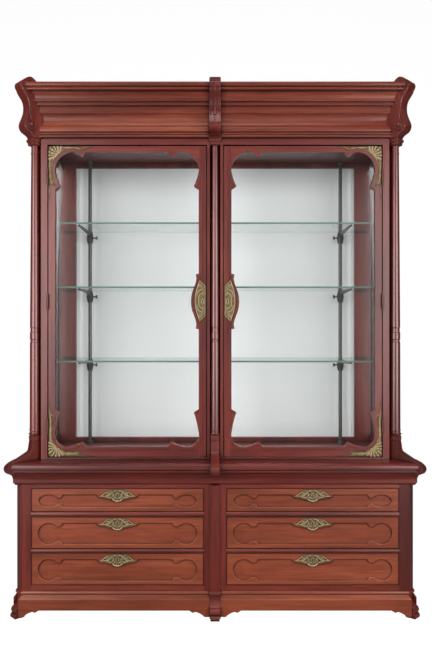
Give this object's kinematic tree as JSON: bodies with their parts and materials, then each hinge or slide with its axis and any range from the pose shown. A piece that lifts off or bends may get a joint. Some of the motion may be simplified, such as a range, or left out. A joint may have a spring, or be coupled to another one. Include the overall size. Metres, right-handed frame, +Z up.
{
  "type": "display cabinet",
  "caption": "Large mahogany display cabinet with glazed doors and glass shelves over a base with drawers, scrolled corner boards, slim turned columns and a deep cornice.",
  "frame": {"origin": "on the floor, under the middle of the cabinet's whole box", "axes": "+X to the right as you face the cabinet, +Y to its back, +Z up"},
  "size_m": [1.9034, 0.5651, 2.461],
  "materials": {
    "mahogany": "satin polish",
    "mahogany_front": "satin polish",
    "inner_wood": "plain",
    "pale_panel": "matte paint",
    "clear_glass": "clear",
    "shelf_glass": "clear",
    "old_brass": "aged",
    "dark_metal": "satin",
    "steel": "brushed"
  },
  "bodies": {
    "case": {"base_sides": "mahogany", "base_partition": "inner_wood", "base_back_panel": "inner_wood", "base_bottom_board": "inner_wood", "base_face_frame": "mahogany", "drawer_runners": "inner_wood", "ledge": "mahogany", "plinth": "mahogany_front", "lower_pilasters": "mahogany", "ledge_scrolls": "mahogany", "colonettes": "mahogany", "upper_posts": "mahogany", "cornice": "mahogany", "crown_corbels": "mahogany", "crown_boards": "mahogany", "upper_floor_board": "mahogany", "upper_side_frames": "mahogany", "upper_side_glass": "clear_glass", "upper_back_frame": "mahogany", "upper_back_panel": "pale_panel", "shelf_uprights": "dark_metal", "hinge_leaves": "old_brass"},
    "door_left": {"door_left_frame": "mahogany", "door_left_glass": "clear_glass", "door_left_brass": "old_brass"},
    "door_left_lock": {"door_left_bolt": "steel"},
    "door_right": {"door_right_frame": "mahogany", "door_right_glass": "clear_glass", "door_right_brass": "old_brass"},
    "door_right_lock": {"door_right_bolt": "steel"},
    "shelf_low": {"shelf_low_glass": "shelf_glass", "shelf_low_brackets": "dark_metal"},
    "shelf_middle": {"shelf_middle_glass": "shelf_glass", "shelf_middle_brackets": "dark_metal"},
    "shelf_high": {"shelf_high_glass": "shelf_glass", "shelf_high_brackets": "dark_metal"},
    "drawer_left_top": {"drawer_left_top_front": "mahogany_front", "drawer_left_top_box": "inner_wood", "drawer_left_top_lock": "old_brass"},
    "drawer_left_top_key": {"drawer_left_top_bolt": "steel"},
    "drawer_left_middle": {"drawer_left_middle_front": "mahogany_front", "drawer_left_middle_box": "inner_wood", "drawer_left_middle_lock": "old_brass"},
    "drawer_left_middle_key": {"drawer_left_middle_bolt": "steel"},
    "drawer_left_bottom": {"drawer_left_bottom_front": "mahogany_front", "drawer_left_bottom_box": "inner_wood", "drawer_left_bottom_lock": "old_brass"},
    "drawer_left_bottom_key": {"drawer_left_bottom_bolt": "steel"},
    "drawer_right_top": {"drawer_right_top_front": "mahogany_front", "drawer_right_top_box": "inner_wood", "drawer_right_top_lock": "old_brass"},
    "drawer_right_top_key": {"drawer_right_top_bolt": "steel"},
    "drawer_right_middle": {"drawer_right_middle_front": "mahogany_front", "drawer_right_middle_box": "inner_wood", "drawer_right_middle_lock": "old_brass"},
    "drawer_right_middle_key": {"drawer_right_middle_bolt": "steel"},
    "drawer_right_bottom": {"drawer_right_bottom_front": "mahogany_front", "drawer_right_bottom_box": "inner_wood", "drawer_right_bottom_lock": "old_brass"},
    "drawer_right_bottom_key": {"drawer_right_bottom_bolt": "steel"}
  },
  "joints": [
    {"name": "door_left_hinge", "type": "hinge", "parent": "case", "child": "door_left", "pos_m": [-0.77, -0.1625, 1.433], "axis": [0, 0, -1], "range_deg": [0, 110]},
    {"name": "door_left_bolt_slide", "type": "slide", "parent": "door_left", "child": "door_left_lock", "axis": [1, 0, 0], "range_m": [0, 0.01]},
    {"name": "door_right_hinge", "type": "hinge", "parent": "case", "child": "door_right", "pos_m": [0.77, -0.1625, 1.433], "axis": [0, 0, 1], "range_deg": [0, 110]},
    {"name": "door_right_bolt_slide", "type": "slide", "parent": "door_right", "child": "door_right_lock", "axis": [-1, 0, 0], "range_m": [0, 0.01]},
    {"name": "shelf_low_height", "type": "slide", "parent": "case", "child": "shelf_low", "axis": [0, 0, 1], "range_m": [-0.1, 0.1]},
    {"name": "shelf_middle_height", "type": "slide", "parent": "case", "child": "shelf_middle", "axis": [0, 0, 1], "range_m": [-0.1, 0.1]},
    {"name": "shelf_high_height", "type": "slide", "parent": "case", "child": "shelf_high", "axis": [0, 0, 1], "range_m": [-0.1, 0.1]},
    {"name": "drawer_left_top_slide", "type": "slide", "parent": "case", "child": "drawer_left_top", "axis": [0, -1, 0], "range_m": [0, 0.38]},
    {"name": "drawer_left_top_bolt_slide", "type": "slide", "parent": "drawer_left_top", "child": "drawer_left_top_key", "axis": [0, 0, 1], "range_m": [0, 0.008]},
    {"name": "drawer_left_middle_slide", "type": "slide", "parent": "case", "child": "drawer_left_middle", "axis": [0, -1, 0], "range_m": [0, 0.38]},
    {"name": "drawer_left_middle_bolt_slide", "type": "slide", "parent": "drawer_left_middle", "child": "drawer_left_middle_key", "axis": [0, 0, 1], "range_m": [0, 0.008]},
    {"name": "drawer_left_bottom_slide", "type": "slide", "parent": "case", "child": "drawer_left_bottom", "axis": [0, -1, 0], "range_m": [0, 0.38]},
    {"name": "drawer_left_bottom_bolt_slide", "type": "slide", "parent": "drawer_left_bottom", "child": "drawer_left_bottom_key", "axis": [0, 0, 1], "range_m": [0, 0.008]},
    {"name": "drawer_right_top_slide", "type": "slide", "parent": "case", "child": "drawer_right_top", "axis": [0, -1, 0], "range_m": [0, 0.38]},
    {"name": "drawer_right_top_bolt_slide", "type": "slide", "parent": "drawer_right_top", "child": "drawer_right_top_key", "axis": [0, 0, 1], "range_m": [0, 0.008]},
    {"name": "drawer_right_middle_slide", "type": "slide", "parent": "case", "child": "drawer_right_middle", "axis": [0, -1, 0], "range_m": [0, 0.38]},
    {"name": "drawer_right_middle_bolt_slide", "type": "slide", "parent": "drawer_right_middle", "child": "drawer_right_middle_key", "axis": [0, 0, 1], "range_m": [0, 0.008]},
    {"name": "drawer_right_bottom_slide", "type": "slide", "parent": "case", "child": "drawer_right_bottom", "axis": [0, -1, 0], "range_m": [0, 0.38]},
    {"name": "drawer_right_bottom_bolt_slide", "type": "slide", "parent": "drawer_right_bottom", "child": "drawer_right_bottom_key", "axis": [0, 0, 1], "range_m": [0, 0.008]}
  ]
}
